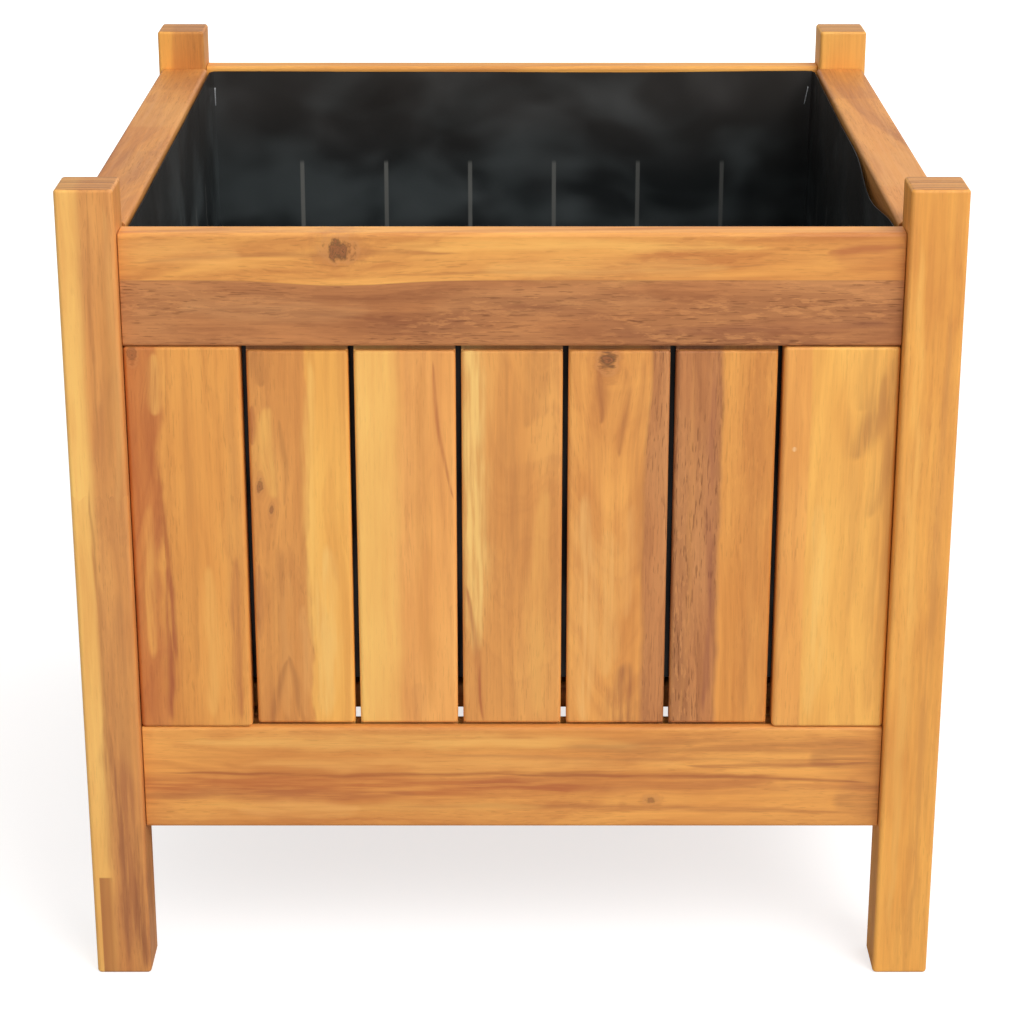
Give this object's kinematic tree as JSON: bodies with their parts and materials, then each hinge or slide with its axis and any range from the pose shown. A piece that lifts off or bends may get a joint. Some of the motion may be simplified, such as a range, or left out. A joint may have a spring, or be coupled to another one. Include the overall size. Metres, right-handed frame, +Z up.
{
  "type": "wooden planter box",
  "caption": "Square wooden planter box on four post legs, with framed slat sides, a slatted bottom and a black film liner open at the top.",
  "frame": {"origin": "on the ground under the middle of the box", "axes": "+X to the right and -Y to the front, seen facing the front panel; +Z up"},
  "size_m": [0.4, 0.4, 0.387],
  "materials": {
    "honey_wood": "oiled, sanded smooth",
    "amber_wood": "oiled, sanded smooth",
    "russet_wood": "oiled, sanded smooth",
    "walnut_wood": "oiled, sanded smooth",
    "liner_film": "black film with a soft sheen",
    "screw_steel": "zinc plated"
  },
  "bodies": {
    "root": {"bottom_batten_left": "amber_wood", "bottom_batten_right": "amber_wood", "bottom_board_1": "russet_wood", "bottom_board_2": "amber_wood", "bottom_board_3": "russet_wood", "bottom_board_4": "amber_wood", "bottom_board_5": "russet_wood", "bottom_board_6": "amber_wood", "front_bottom_rail": "honey_wood", "front_slat_1": "amber_wood", "front_slat_2": "honey_wood", "front_slat_3": "amber_wood", "front_slat_4": "russet_wood", "front_slat_5": "walnut_wood", "front_stile_left": "amber_wood", "front_stile_right": "honey_wood", "front_top_rail": "russet_wood", "ledger_front": "amber_wood", "ledger_rear": "amber_wood", "left_bottom_rail": "honey_wood", "left_slat_1": "amber_wood", "left_slat_2": "honey_wood", "left_slat_3": "amber_wood", "left_slat_4": "russet_wood", "left_slat_5": "walnut_wood", "left_stile_left": "amber_wood", "left_stile_right": "honey_wood", "left_top_rail": "russet_wood", "liner": "liner_film", "post_front_left": "amber_wood", "post_front_right": "amber_wood", "post_rear_left": "amber_wood", "post_rear_right": "amber_wood", "rear_bottom_rail": "honey_wood", "rear_slat_1": "amber_wood", "rear_slat_2": "honey_wood", "rear_slat_3": "amber_wood", "rear_slat_4": "russet_wood", "rear_slat_5": "walnut_wood", "rear_stile_left": "amber_wood", "rear_stile_right": "honey_wood", "rear_top_rail": "russet_wood", "right_bottom_rail": "honey_wood", "right_slat_1": "amber_wood", "right_slat_2": "honey_wood", "right_slat_3": "amber_wood", "right_slat_4": "russet_wood", "right_slat_5": "walnut_wood", "right_stile_left": "amber_wood", "right_stile_right": "honey_wood", "right_top_rail": "russet_wood", "screw_front_left_bottom": "screw_steel", "screw_front_left_top": "screw_steel", "screw_front_right_bottom": "screw_steel", "screw_front_right_top": "screw_steel", "screw_rear_left_bottom": "screw_steel", "screw_rear_left_top": "screw_steel", "screw_rear_right_bottom": "screw_steel", "screw_rear_right_top": "screw_steel"}
  },
  "joints": []
}
